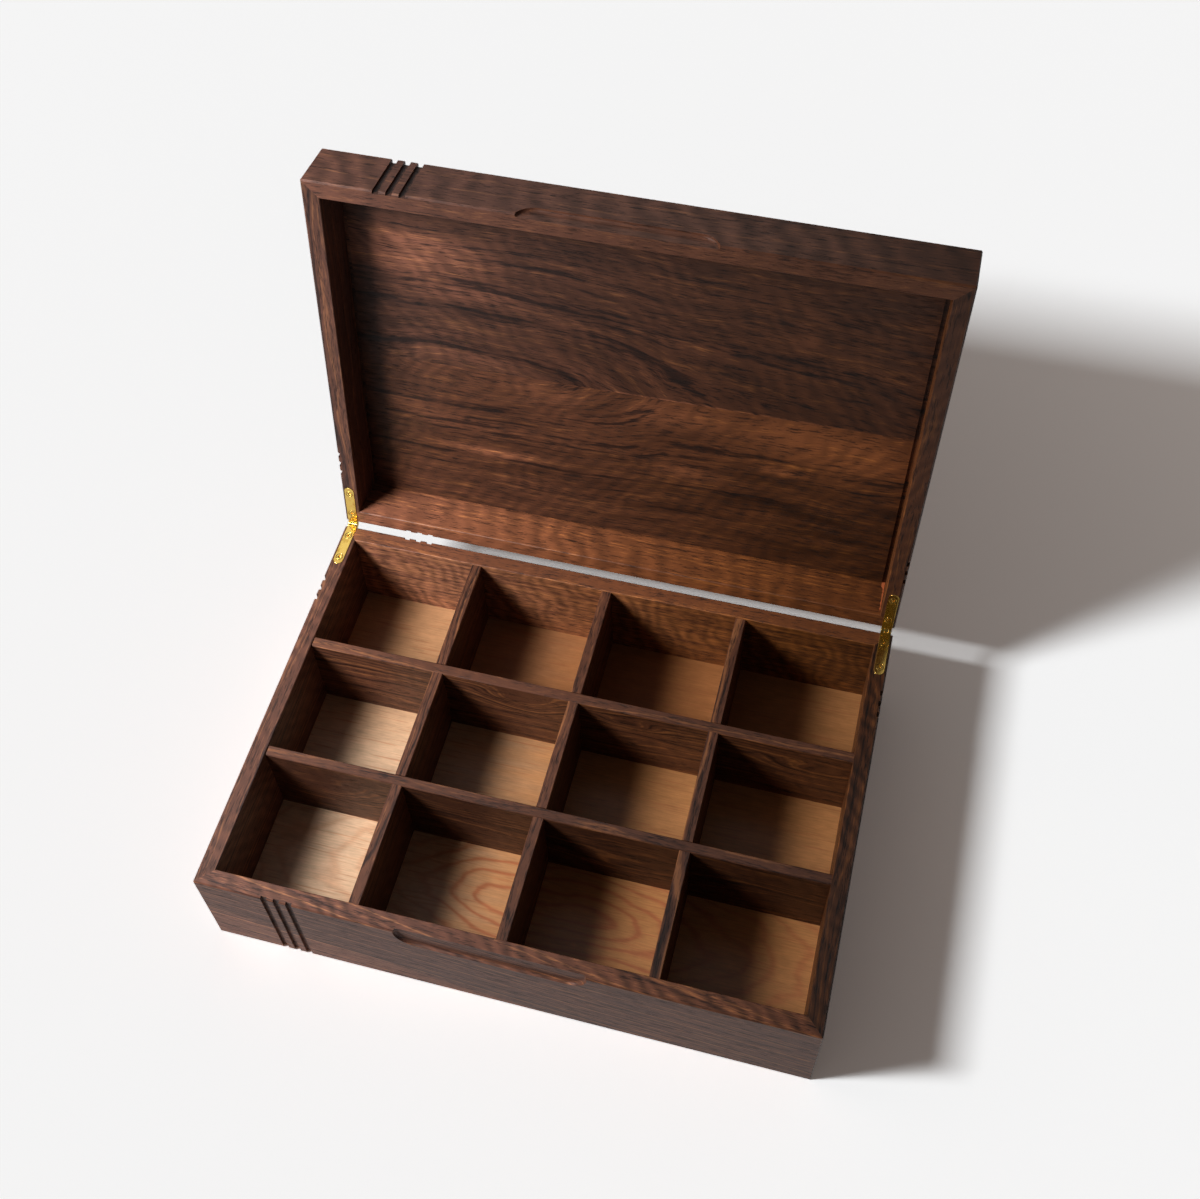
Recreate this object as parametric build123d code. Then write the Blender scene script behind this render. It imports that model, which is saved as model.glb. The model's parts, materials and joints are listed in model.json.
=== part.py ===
from build123d import *
import os

# Tea chest with twelve compartments under a hinged lid. Sizes are in millimetres.
# X runs to the right, Y to the back and Z up. The lid is built shut, then swung open.

# Box
box_width = 350.0
box_depth = 251.3
base_height = 71.3
lid_height = 32.2
wall_thickness = 10.0
closed_gap = 0.6
lid_open_angle = 98.8

# Eased edges of the boards
outer_edge_ease = 0.9
upright_corner_ease = 0.7
inner_rim_ease = 0.4

# Floor panel of the base
floor_thickness = 6.0
floor_recess = 6.0
floor_tongue_thickness = 3.2
floor_tongue_reach = 4.0
floor_edge_gap = 0.5

# Lid panel, glued up from two boards
panel_thickness = 5.8
panel_lip_thickness = 2.4
panel_tongue_thickness = 2.0
panel_tongue_reach = 4.0
panel_end_gap_inside = 2.5
panel_side_gap_inside = 0.9
panel_gap_outside = 0.8
panel_seam_offset = 2.6
panel_seam_angle = -1.2

# Play at the end of each tongue
tongue_end_play = 0.5

# Divider crate
divider_thickness = 6.4
divider_drop = 0.8
divider_top_ease = 0.5
divider_end_play = 0.1
divider_slot_play = 0.05
middle_row_depth = 70.4
cross_names = ("left", "middle", "right")

# Decorative grooves
groove_count = 3
groove_width = 3.6
groove_pitch = 7.3
groove_first_edge = 40.0
groove_depth = 1.7

# Finger scoop in the front, across the parting line
scoop_length = 108.0
scoop_height = 23.0
scoop_depth = 2.2
scoop_corner_radius = 1.8
scoop_centre_x = -4.6
scoop_centre_below_rim = 2.9

# Hinges, let into the rims of the side boards
leaf_length = 29.8
leaf_width = 6.3
leaf_thickness = 2.0
leaf_side_inset = 1.4
leaf_bed_play = 0.05
leaf_shoulder_overhang = 0.15
leaf_meeting_gap = 0.05
pivot_behind_back = 1.8
knuckle_radius = 1.55
knuckle_tongue_width = 2.1
knuckle_side_play = 0.08
heel_play = 0.05
pin_radius = 0.8
pin_ear_play = 0.02
pin_tongue_play = 0.05

# Screws of the hinges
screw_head_radius = 2.2
screw_head_height = 1.2
screw_shank_radius = 1.1
screw_length = 10.0
screw_tip_length = 2.5
screw_tip_radius = 0.2
screw_sink = 0.05
screw_play = 0.04
screw_near_back = 7.6
screw_far_back = 24.5
recess_width = 0.6
recess_length = 2.4
recess_depth = 0.8

# Room that a cutter takes beyond the wood
cutter_room = 5.0

# Sizes that follow from the ones above
half_width = box_width / 2
half_depth = box_depth / 2
inner_width = box_width - 2 * wall_thickness
inner_depth = box_depth - 2 * wall_thickness
floor_top = floor_recess + floor_thickness
lid_rim = base_height + closed_gap
lid_top = lid_rim + lid_height
hinge_y = half_depth + pivot_behind_back
hinge_z = base_height + closed_gap / 2
hinge_x = half_width - leaf_side_inset - leaf_width / 2
leaf_proud = (closed_gap - leaf_meeting_gap) / 2
base_leaf_top = base_height + leaf_proud
lid_leaf_bottom = lid_rim - leaf_proud
lid_swing = Axis((0, hinge_y, hinge_z), (1, 0, 0))
divider_top = base_height - divider_drop
divider_middle_z = (floor_top + divider_top) / 2
column_count = len(cross_names) + 1
column_pitch = (inner_width + divider_thickness) / column_count
cross_places = [(index + 1 - column_count / 2) * column_pitch for index in range(column_count - 1)]
long_divider_y = (middle_row_depth + divider_thickness) / 2
long_places = [-long_divider_y, long_divider_y]


def block(x_min, x_max, y_min, y_max, z_min, z_max):
    """A plain block between two opposite corners."""
    low = (Align.MIN, Align.MIN, Align.MIN)
    return Pos(x_min, y_min, z_min) * Box(x_max - x_min, y_max - y_min, z_max - z_min, align=low)


def centred_block(width, depth, z_min, z_max):
    """A block centred on the Z axis, between two heights."""
    return block(-width / 2, width / 2, -depth / 2, depth / 2, z_min, z_max)


def outer_form(z_min, z_max):
    """The outside of the base or the lid, with its edges eased."""
    form = centred_block(box_width, box_depth, z_min, z_max)
    form = chamfer(form.edges().filter_by(Axis.Z), upright_corner_ease)
    return chamfer(form.faces().filter_by(Axis.Z).edges(), outer_edge_ease)


def inner_form(z_min, z_max, rim_height, inward):
    """The room inside the four walls, widened where the rim's inner edge is eased."""
    room = centred_block(inner_width, inner_depth, z_min - cutter_room, z_max + cutter_room)
    wide = Rectangle(inner_width + 2 * inner_rim_ease, inner_depth + 2 * inner_rim_ease)
    narrow = Rectangle(inner_width, inner_depth)
    bevel = loft([Pos(0, 0, rim_height) * wide, Pos(0, 0, rim_height + inward * inner_rim_ease) * narrow])
    return room + bevel


def groove_bands(z_min, z_max, across_top):
    """Bands that cut the grooves: from the left on front and back, from the back on the sides."""
    core_top = z_max - groove_depth if across_top else z_max + cutter_room
    core_width = box_width - 2 * groove_depth
    core_depth = box_depth - 2 * groove_depth
    core = centred_block(core_width, core_depth, z_min - cutter_room, core_top)
    x_end = half_width + cutter_room
    y_end = half_depth + cutter_room
    low = z_min - cutter_room
    high = z_max + cutter_room
    bands = []
    for index in range(groove_count):
        near = groove_first_edge + index * groove_pitch
        far = near + groove_width
        bands.append(block(near - half_width, far - half_width, -y_end, y_end, low, high) - core)
        bands.append(block(-x_end, x_end, half_depth - far, half_depth - near, low, high) - core)
    return bands


def scoop_form():
    """A round-ended pocket for the fingers, open to the front, with a soft edge round its bottom."""
    centre = (scoop_centre_x, -half_depth, base_height - scoop_centre_below_rim)
    outline = Plane(origin=centre, x_dir=(1, 0, 0), z_dir=(0, 1, 0)) * SlotOverall(scoop_length, scoop_height)
    pocket = extrude(outline, scoop_depth)
    pocket = fillet(pocket.faces().sort_by(Axis.Y)[-1].edges(), scoop_corner_radius)
    return pocket + extrude(outline, -cutter_room)


def leaf_plate(x, z_min, play):
    """The flat of a leaf with its round tip, or its bed in the wood when play is added."""
    half = leaf_width / 2
    tip_centre_y = half_depth - leaf_length + half
    y_end = half_depth + leaf_shoulder_overhang
    strip = block(x - half - play, x + half + play, tip_centre_y, y_end, z_min, z_min + leaf_thickness)
    tip = Pos(x, tip_centre_y, z_min + leaf_thickness / 2) * Cylinder(half + play, leaf_thickness)
    return strip + tip


def hinge_rod(x_min, x_max, radius):
    """A round bar along the pivot line."""
    middle = Pos((x_min + x_max) / 2, hinge_y, hinge_z)
    return middle * Rot(0, 90, 0) * Cylinder(radius, x_max - x_min)


def screw_places(x):
    """Where the two screws of a leaf stand, as seen from above."""
    return [(x, half_depth - screw_near_back), (x, half_depth - screw_far_back)]


def screw_form(play):
    """A countersunk screw that points down, its head's face at the origin."""
    shank_length = screw_length - screw_head_height - screw_tip_length
    head_centre = -screw_head_height / 2
    shank_centre = -screw_head_height - shank_length / 2
    tip_centre = -screw_head_height - shank_length - screw_tip_length / 2
    head = Cone(screw_shank_radius + play, screw_head_radius + play, screw_head_height)
    shank = Cylinder(screw_shank_radius + play, shank_length)
    tip = Cone(screw_tip_radius + play, screw_shank_radius + play, screw_tip_length)
    return Pos(0, 0, head_centre) * head + Pos(0, 0, shank_centre) * shank + Pos(0, 0, tip_centre) * tip


def screw_hole():
    """The hole for one screw, open above the head and a little deeper than the tip."""
    mouth = Pos(0, 0, screw_sink) * Cylinder(screw_head_radius + screw_play, 2 * screw_sink)
    bore = Pos(0, 0, -screw_length / 2) * Cylinder(screw_shank_radius + screw_play, screw_length + screw_play)
    return screw_form(screw_play) + mouth + bore


def screw():
    """One screw with its cross recess."""
    slot = Box(recess_length, recess_width, 2 * recess_depth)
    cross = slot + Rot(0, 0, 90) * slot
    return screw_form(0) - cross


def down_at(place, face_height):
    """Places a form that points down into the base rim."""
    return Pos(place[0], place[1], face_height - screw_sink)


def up_at(place, face_height):
    """Places a form that points up into the lid rim."""
    return Pos(place[0], place[1], face_height + screw_sink) * Rot(180, 0, 0)


def ear_ranges(x):
    """The spans along the pivot line that the two ears of a base leaf take."""
    inner = knuckle_tongue_width / 2 + knuckle_side_play
    return [(x - leaf_width / 2, x - inner), (x + inner, x + leaf_width / 2)]


def base_leaf(x):
    """A base leaf: plate, two ears with the heels that stop the lid, pin and screw holes."""
    plate_bottom = base_leaf_top - leaf_thickness
    leaf = leaf_plate(x, plate_bottom, 0)
    heel_front = hinge_y - (pivot_behind_back - leaf_shoulder_overhang - heel_play)
    for x_min, x_max in ear_ranges(x):
        leaf += block(x_min, x_max, half_depth, hinge_y, plate_bottom, base_leaf_top)
        leaf += hinge_rod(x_min, x_max, knuckle_radius)
        heel = block(x_min, x_max, heel_front, hinge_y, hinge_z, hinge_z + knuckle_radius)
        leaf += heel.rotate(lid_swing, -lid_open_angle)
    leaf -= hinge_rod(x - leaf_width, x + leaf_width, pin_radius + pin_ear_play)
    for place in screw_places(x):
        leaf -= down_at(place, base_leaf_top) * screw_hole()
    return leaf


def lid_leaf(x):
    """A lid leaf: plate, centre tongue that turns on the pin, and screw holes."""
    leaf = leaf_plate(x, lid_leaf_bottom, 0)
    half = knuckle_tongue_width / 2
    plate_top = lid_leaf_bottom + leaf_thickness
    leaf += block(x - half, x + half, half_depth, hinge_y, lid_leaf_bottom, plate_top)
    leaf += hinge_rod(x - half, x + half, knuckle_radius)
    leaf -= hinge_rod(x - half, x + half, pin_radius + pin_tongue_play)
    for place in screw_places(x):
        leaf -= up_at(place, lid_leaf_bottom) * screw_hole()
    return leaf


def base_ring():
    """The four walls of the base in one, with every cut made in them."""
    ring = outer_form(0, base_height) - inner_form(0, base_height, base_height, -1)
    reach = 2 * (floor_tongue_reach + tongue_end_play)
    tongue_bottom = floor_top - floor_tongue_thickness
    ring -= centred_block(inner_width + reach, inner_depth + reach, tongue_bottom, floor_top)
    ring -= groove_bands(0, base_height, False)
    ring -= scoop_form()
    for x in (-hinge_x, hinge_x):
        ring -= leaf_plate(x, base_leaf_top - leaf_thickness, leaf_bed_play)
        for place in screw_places(x):
            ring -= down_at(place, base_leaf_top) * screw_hole()
    return ring


def lid_ring():
    """The four walls of the lid in one, with every cut made in them."""
    ring = outer_form(lid_rim, lid_top) - inner_form(lid_rim, lid_top, lid_rim, 1)
    reach = 2 * (panel_tongue_reach + tongue_end_play)
    tongue_top = lid_top - panel_lip_thickness
    tongue_bottom = tongue_top - panel_tongue_thickness
    ring -= centred_block(inner_width + reach, inner_depth + reach, tongue_bottom, tongue_top)
    ring -= groove_bands(lid_rim, lid_top, True)
    ring -= scoop_form()
    for x in (-hinge_x, hinge_x):
        ring -= leaf_plate(x, lid_leaf_bottom, leaf_bed_play)
        for place in screw_places(x):
            ring -= up_at(place, lid_leaf_bottom) * screw_hole()
    return ring


def corners(x, y):
    """The corners of a centred rectangle, from the front left one round to the rear left one."""
    return [(-x, -y), (x, -y), (x, y), (-x, y)]


def mitred_boards(ring, z_min, z_max):
    """Cuts a ring on its corner diagonals into front, right, back and left boards."""
    outer = corners(half_width, half_depth)
    inner = corners(half_width - wall_thickness, half_depth - wall_thickness)
    boards = []
    for start in range(len(outer)):
        end = (start + 1) % len(outer)
        outline = Polygon(outer[start], outer[end], inner[end], inner[start], align=None)
        wedge = Pos(0, 0, z_min) * extrude(outline, z_max - z_min)
        boards.append(ring & wedge)
    return boards


def floor_panel():
    """The floor of the base, its upper part running out as a tongue."""
    tongue_bottom = floor_top - floor_tongue_thickness
    reach = 2 * floor_tongue_reach
    tongue = centred_block(inner_width + reach, inner_depth + reach, tongue_bottom, floor_top)
    gap = 2 * floor_edge_gap
    body = centred_block(inner_width - gap, inner_depth - gap, floor_recess, tongue_bottom)
    return tongue + body


def lid_panel():
    """The lid's panel: inside part, tongue and outside part, before it is parted at the seam."""
    inside = lid_top - panel_thickness
    tongue_top = lid_top - panel_lip_thickness
    tongue_bottom = tongue_top - panel_tongue_thickness
    end_gap = 2 * panel_end_gap_inside
    side_gap = 2 * panel_side_gap_inside
    panel = centred_block(inner_width - end_gap, inner_depth - side_gap, inside, tongue_bottom)
    reach = 2 * panel_tongue_reach
    panel += centred_block(inner_width + reach, inner_depth + reach, tongue_bottom, tongue_top)
    top_gap = 2 * panel_gap_outside
    panel += centred_block(inner_width - top_gap, inner_depth - top_gap, tongue_top, lid_top)
    return panel - groove_bands(lid_rim, lid_top, True)


def seam_halves(panel):
    """Parts the lid's panel along its glue seam into a front and a rear board."""
    front = block(-box_width, box_width, -box_depth, 0, 0, lid_top + cutter_room)
    seam = Pos(0, panel_seam_offset, 0) * Rot(0, 0, panel_seam_angle)
    return panel & seam * front, panel - seam * front


def divider(length):
    """A plain divider along X, centred, with its top edges eased."""
    board = centred_block(length, divider_thickness, floor_top, divider_top)
    long_edges = board.edges().filter_by(Axis.X).group_by(Axis.Z)[-1]
    return chamfer(long_edges, divider_top_ease)


def slot_form(x, y, z_min, z_max):
    """The room for a divider that crosses at x, y."""
    half = divider_thickness / 2 + divider_slot_play
    return block(x - half, x + half, y - half, y + half, z_min, z_max)


def long_divider(y):
    """A divider from left to right, slotted from below for the cross ones."""
    board = Pos(0, y, 0) * divider(inner_width - 2 * divider_end_play)
    for x in cross_places:
        board -= slot_form(x, y, floor_top - cutter_room, divider_middle_z + divider_slot_play)
    return board


def cross_divider(x):
    """A divider from front to back, slotted from above for the long ones."""
    board = Pos(x, 0, 0) * Rot(0, 0, 90) * divider(inner_depth - 2 * divider_end_play)
    for y in long_places:
        board -= slot_form(x, y, divider_middle_z - divider_slot_play, base_height + cutter_room)
    return board


# The base
base = {}
base_boards = mitred_boards(base_ring(), 0, base_height)
for side, board in zip(("front", "right", "back", "left"), base_boards):
    base[f"base_{side}_board"] = board
base["base_floor_panel"] = floor_panel()
for side, y in zip(("front", "rear"), long_places):
    base[f"divider_long_{side}"] = long_divider(y)
for side, x in zip(cross_names, cross_places):
    base[f"divider_cross_{side}"] = cross_divider(x)

# The lid, built shut
lid = {}
lid_boards = mitred_boards(lid_ring(), lid_rim, lid_top)
for side, board in zip(("front", "right", "back", "left"), lid_boards):
    lid[f"lid_{side}_board"] = board
panel_front, panel_rear = seam_halves(lid_panel())
lid["lid_panel_front_board"] = panel_front
lid["lid_panel_rear_board"] = panel_rear

# The hinges
for side, x in (("left", -hinge_x), ("right", hinge_x)):
    base[f"hinge_{side}_base_leaf"] = base_leaf(x)
    base[f"hinge_{side}_pin"] = hinge_rod(x - leaf_width / 2, x + leaf_width / 2, pin_radius)
    base_screws = [down_at(place, base_leaf_top) * screw() for place in screw_places(x)]
    base[f"hinge_{side}_base_screws"] = Compound(base_screws)
    lid[f"hinge_{side}_lid_leaf"] = lid_leaf(x)
    lid_screws = [up_at(place, lid_leaf_bottom) * screw() for place in screw_places(x)]
    lid[f"hinge_{side}_lid_screws"] = Compound(lid_screws)

# The lid stands open on its heels, and the origin is under the middle of the whole
pieces = dict(base)
for name, piece in lid.items():
    pieces[name] = piece.rotate(lid_swing, -lid_open_angle)
boxes = [piece.bounding_box() for piece in pieces.values()]
y_middle = (min(box.min.Y for box in boxes) + max(box.max.Y for box in boxes)) / 2
os.makedirs("parts", exist_ok=True)
for name, piece in pieces.items():
    export_step(Pos(0, -y_middle, 0) * piece, f"parts/{name}.step")
print("pivot Y", hinge_y - y_middle, "pivot Z", hinge_z, "moved back by", -y_middle)
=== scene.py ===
import json
import math

import bpy
from bpy.props import FloatProperty, FloatVectorProperty, PointerProperty
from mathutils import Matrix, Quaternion, Vector


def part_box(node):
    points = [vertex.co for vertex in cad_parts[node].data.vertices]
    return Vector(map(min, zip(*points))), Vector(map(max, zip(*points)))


bl_info = {
    "name": "Tea chest finish",
    "version": (1, 0, 0),
    "blender": (4, 5, 0),
    "location": "3D View > Sidebar > Tea chest",
    "description": "Gives the tea chest its walnut, maple and brass, and sets it on a pale floor",
    "category": "Object",
}

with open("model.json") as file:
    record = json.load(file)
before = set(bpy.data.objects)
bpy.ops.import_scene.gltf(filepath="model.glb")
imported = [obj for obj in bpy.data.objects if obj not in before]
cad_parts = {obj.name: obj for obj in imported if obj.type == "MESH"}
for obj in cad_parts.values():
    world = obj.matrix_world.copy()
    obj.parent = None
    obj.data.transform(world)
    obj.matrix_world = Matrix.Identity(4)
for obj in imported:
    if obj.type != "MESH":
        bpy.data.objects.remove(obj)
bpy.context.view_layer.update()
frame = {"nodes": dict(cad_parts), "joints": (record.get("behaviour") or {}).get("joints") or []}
lid_joint = frame["joints"][0]
PIVOT = Vector(lid_joint["pos_m"])
OPEN_ANGLE = math.radians(-lid_joint["range_deg"][0])
FRONT_LOW, FRONT_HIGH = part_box("base_front_board")
BACK_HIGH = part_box("base_back_board")[1]
CHEST_MIDDLE_Y = (FRONT_LOW.y + BACK_HIGH.y) / 2

# Shader places are in millimetres from the middle of the chest's footprint.
MM = 0.001
HALF_WIDTH = FRONT_HIGH.x / MM
BOARD_THICKNESS = 10.0
LEFTWARD = (-1.0, 0.0, 0.0)
FORWARD = (0.0, -1.0, 0.0)
UPWARD = (0.0, 0.0, 1.0)
DOWNWARD = (0.0, 0.0, -1.0)
FACING = (0.55, 0.8)


def colour(name, description, default):
    """A linear colour that a user can change."""
    return FloatVectorProperty(
        name=name, description=description, default=default, subtype="COLOR", size=3, min=0, max=1
    )


def place(name, description, default):
    """A point in metres that a user can change."""
    return FloatVectorProperty(
        name=name, description=description, default=default, subtype="TRANSLATION", unit="LENGTH", size=3
    )


def length(name, description, default):
    """A length in metres that a user can change."""
    return FloatProperty(name=name, description=description, default=default, unit="LENGTH", precision=5)


def amount(name, description, default):
    """A plain number that a user can change."""
    return FloatProperty(name=name, description=description, default=default, precision=4)


class WalnutSettings(bpy.types.PropertyGroup):
    """Colours and sizes of the walnut's figure."""

    dark: colour("Dark", "The dark lines of its growth rings", (0.024, 0.0095, 0.0070))
    body: colour("Body", "The walnut between its lines", (0.080, 0.0308, 0.0192))
    gold: colour("Gold", "Its palest streaks", (0.195, 0.0800, 0.0370))
    # Orange tint, partly the walnut's own warmth and partly painted light, laid on faces turned to the lamp
    # and towards the right
    orange: colour("Orange", "Tint of the warm inner faces", (0.300, 0.0930, 0.0270))
    # A bright orange strip in the lid's right rear corner
    orange_strip: colour("Glue", "The dried bead of glue in a corner of the lid", (0.62, 0.16, 0.055))
    pore_length: length("Pore length", "Usual length of an open pore", 0.0060)
    pore_width: length("Pore width", "Usual width of an open pore", 0.00055)
    curl_pitch: length("Curl pitch", "Distance between two ripples of curly figure", 0.012)
    edge_wear: length("Edge wear", "Width of the rubbed strip along the edges", 0.0007)
    # How far the painted shade of grooves and corners reaches from their foot
    groove_shade_reach: length("Hollow reach", "How far dark wax gathers from the foot of a groove", 0.003)
    roughness: amount("Roughness", "Roughness of the oiled surface", 0.48)
    gloss: amount("Gloss", "Strength of the oiled surface's reflection", 0.35)


class MapleSettings(bpy.types.PropertyGroup):
    """Colours of the maple floor."""

    pale: colour("Pale", "The maple at the left end", (0.640, 0.430, 0.275))
    # The maple at the right end, darker and warmer as painted falloff of light
    falloff_tone: colour("Ripe", "The maple at the right end", (0.500, 0.220, 0.078))
    # Painted shade: the darkest maple, by the back wall
    deep: colour("Deep", "The darkest maple, by the back wall", (0.380, 0.125, 0.036))
    line: colour("Line", "The reddish lines of its growth rings", (0.420, 0.140, 0.055))
    roughness: amount("Roughness", "Roughness of the oiled surface", 0.45)
    gloss: amount("Gloss", "Strength of the oiled surface's reflection", 0.3)


class BrassSettings(bpy.types.PropertyGroup):
    """The polished brass of the hinges."""

    body: colour("Body", "Clean brass", (0.93, 0.63, 0.16))
    dull: colour("Dull", "Brass where hands have dulled it", (0.62, 0.36, 0.06))
    edge_ease: length("Edge ease", "Width of the eased edges", 0.00045)
    roughness: amount("Roughness", "Roughness of the polished faces", 0.19)


class StageSettings(bpy.types.PropertyGroup):
    """The floor, the lamps, the fill light and the camera."""

    pale: amount("Pale", "Brightness of the floor where no shadow falls", 0.913)
    floor_reach: length("Floor reach", "Distance from the chest to the floor's edge", 3.0)
    key_place: place("Key place", "Middle of the soft lamp that lights the chest", (-0.600, -0.2900, 0.690))
    key_aim: place("Key aim", "Point that the soft lamp faces", (-0.30, 0.0, 0.15))
    key_width: length("Key width", "Width of the soft lamp", 0.34)
    key_height: length("Key height", "Height of the soft lamp", 0.30)
    key_level: amount("Key level", "Light of the soft lamp straight ahead, a metre away", 1.80)
    key_spread: amount("Key spread", "Angle of the soft lamp's beam, in degrees", 75.0)
    floor_key_place: place("Floor key place", "Middle of the lamp for the floor", (-0.875, -0.498, 1.058))
    floor_key_width: length("Floor key width", "Long side of the lamp for the floor", 0.28)
    floor_key_height: length("Floor key height", "Short side of the lamp for the floor", 0.165)
    floor_key_roll: amount("Floor key roll", "Turn of that lamp about its beam, in degrees", 45.8)
    floor_key_level: amount("Floor key level", "Light of the floor's lamp a metre away", 0.90)
    floor_key_tint: colour("Floor key tint", "Colour of the lamp for the floor", (0.78, 0.915, 1.0))
    card_place: place("Card place", "Middle of the pale card that the brass mirrors", (-0.26, 0.69, 1.02))
    card_aim: place("Card aim", "Point that the pale card faces", (0.0, 0.08, 0.07))
    card_size: length("Card size", "Width of the pale card", 0.98)
    card_level: amount("Card level", "Brightness of the pale card", 0.90)
    fill_level: amount("Fill level", "Light from all around", 0.05)
    camera_place: place("Camera place", "The camera", (0.13908, -0.43112, 0.85792))
    camera_aim: place("Camera aim", "Point on the lens axis", (-0.04312, 0.13428, 0.012))
    camera_roll: amount("Camera roll", "Turn about the lens axis, in degrees", -3.489)
    lens: amount("Lens", "Focal length in millimetres on a 36 mm frame", 46.032)
    shift_x: amount("Shift X", "Sideways shift of the framing", 0.02860)
    shift_y: amount("Shift Y", "Upright shift of the framing", -0.03129)


class Wire:
    """An output of a node, for shader maths written as an expression."""

    def __init__(self, bench, socket):
        self.bench = bench
        self.socket = socket

    def maths(self, operation, *values):
        return self.bench.node("ShaderNodeMath", 0, {"operation": operation}, dict(enumerate(values)))

    def __add__(self, other):
        return self.maths("ADD", self, other)

    def __radd__(self, other):
        return self.maths("ADD", other, self)

    def __sub__(self, other):
        return self.maths("SUBTRACT", self, other)

    def __rsub__(self, other):
        return self.maths("SUBTRACT", other, self)

    def __mul__(self, other):
        return self.maths("MULTIPLY", self, other)

    def __rmul__(self, other):
        return self.maths("MULTIPLY", other, self)

    def __truediv__(self, other):
        return self.maths("DIVIDE", self, other)

    def __rtruediv__(self, other):
        return self.maths("DIVIDE", other, self)

    def __pow__(self, other):
        return self.maths("POWER", self, other)

    def __abs__(self):
        return self.maths("ABSOLUTE", self)

    def sine(self):
        return self.maths("SINE", self)

    def root(self):
        return self.maths("SQRT", self)

    def most(self, other):
        return self.maths("MAXIMUM", self, other)

    def swing(self):
        """How far a noise stands from its middle."""
        return self - 0.5

    def step(self, low, high):
        """0 at low, 1 at high, and smooth between them."""
        settings = {"interpolation_type": "SMOOTHSTEP"}
        return self.bench.node("ShaderNodeMapRange", 0, settings, {0: self, 1: low, 2: high})

    def beside(self, name):
        """Another output of the same node."""
        return Wire(self.bench, self.socket.node.outputs[name])


class Bench:
    """The node tree of one finish."""

    def __init__(self, tree):
        self.tree = tree
        tree.nodes.clear()

    def node(self, kind, output, settings=None, inputs=None):
        """Adds a node, sets it, fills its sockets with values or wires, and gives one output."""
        made = self.tree.nodes.new(kind)
        for name, value in (settings or {}).items():
            if name == "stops":
                self.set_stops(made.color_ramp, value)
            else:
                setattr(made, name, value)
        for name, value in (inputs or {}).items():
            if isinstance(value, Wire):
                self.tree.links.new(value.socket, made.inputs[name])
            else:
                made.inputs[name].default_value = value
        return Wire(self, made.outputs[output]) if output is not None else None

    def set_stops(self, ramp, stops):
        """Sets a ramp's colours from (position, colour) pairs."""
        while len(ramp.elements) < len(stops):
            ramp.elements.new(1.0)
        for element, (position, tint) in zip(ramp.elements, stops):
            element.position = position
            element.color = (*tint, 1.0)

    def vector(self, x, y, z):
        return self.node("ShaderNodeCombineXYZ", 0, None, {0: x, 1: y, 2: z})

    def parts(self, vector):
        """The x, y and z of a vector."""
        x = self.node("ShaderNodeSeparateXYZ", "X", None, {0: vector})
        return x, x.beside("Y"), x.beside("Z")

    def minus(self, first, second):
        """One vector less another."""
        return self.node("ShaderNodeVectorMath", 0, {"operation": "SUBTRACT"}, {0: first, 1: second})

    def dot(self, first, second):
        """How far one vector runs along another."""
        settings = {"operation": "DOT_PRODUCT"}
        return self.node("ShaderNodeVectorMath", "Value", settings, {0: first, 1: second})

    def shade(self, tint, level):
        """A colour or a vector times a number that may vary."""
        return self.node("ShaderNodeVectorMath", 0, {"operation": "SCALE"}, {0: tint, 3: level})

    def noise(self, vector, scale=1.0, detail=2.0, roughness=0.5):
        """Noise about a half."""
        inputs = {"Vector": vector, "Scale": scale, "Detail": detail, "Roughness": roughness}
        return self.node("ShaderNodeTexNoise", 0, {"noise_dimensions": "3D"}, inputs)

    def grain(self, along, across, up, length, width, shift=0.0, detail=2.0, roughness=0.5):
        """Noise in a solid board, in patches of a length along its grain and a width across it."""
        there = self.vector(along / length + shift, across / width, up / width)
        return self.noise(there, detail=detail, roughness=roughness)

    def sheet(self, x, y, length, width, layer, detail=2.0, roughness=0.5):
        """Noise over a flat board, in patches of a length and a width; each layer is another noise."""
        there = self.vector(x / length, y / width, layer)
        return self.noise(there, detail=detail, roughness=roughness)

    def line_noise(self, value, detail=2.0, roughness=0.5):
        """Noise along a line."""
        inputs = {"W": value, "Scale": 1.0, "Detail": detail, "Roughness": roughness}
        return self.node("ShaderNodeTexNoise", 0, {"noise_dimensions": "1D"}, inputs)

    def ramp(self, value, stops):
        return self.node("ShaderNodeValToRGB", 0, {"stops": stops}, {0: value})

    def blend(self, factor, first, second, mode="MIX"):
        """Mixes two colours."""
        settings = {"data_type": "RGBA", "blend_type": mode}
        inputs = {0: factor, 6: as_colour(first), 7: as_colour(second)}
        return self.node("ShaderNodeMix", 2, settings, inputs)

    def eased_normal(self, radius, samples):
        """The way a face looks, rounded over near its edges."""
        return self.node("ShaderNodeBevel", 0, {"samples": samples}, {"Radius": radius})

    def bump(self, height, distance, strength, normal=None):
        """The way a face looks once it has a relief; distance is the relief of a height of 1, in metres."""
        inputs = {"Height": height, "Distance": distance, "Strength": strength}
        if normal is not None:
            inputs["Normal"] = normal
        return self.node("ShaderNodeBump", 0, None, inputs)

    def finish(self, shader):
        self.node("ShaderNodeOutputMaterial", None, None, {"Surface": shader})


def as_colour(value):
    """Wires pass through, and three numbers become a colour."""
    if isinstance(value, Wire):
        return value
    return (value[0], value[1], value[2], 1.0)


def new_material(name):
    """A fresh material and the bench to build it on."""
    material = bpy.data.materials.new(name)
    material.use_nodes = True
    return material, Bench(material.node_tree)


def put_on(node_name, material):
    """Gives a node of the chest one material for all its faces."""
    mesh = frame["nodes"][node_name].data
    mesh.materials.clear()
    mesh.materials.append(material)


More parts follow.
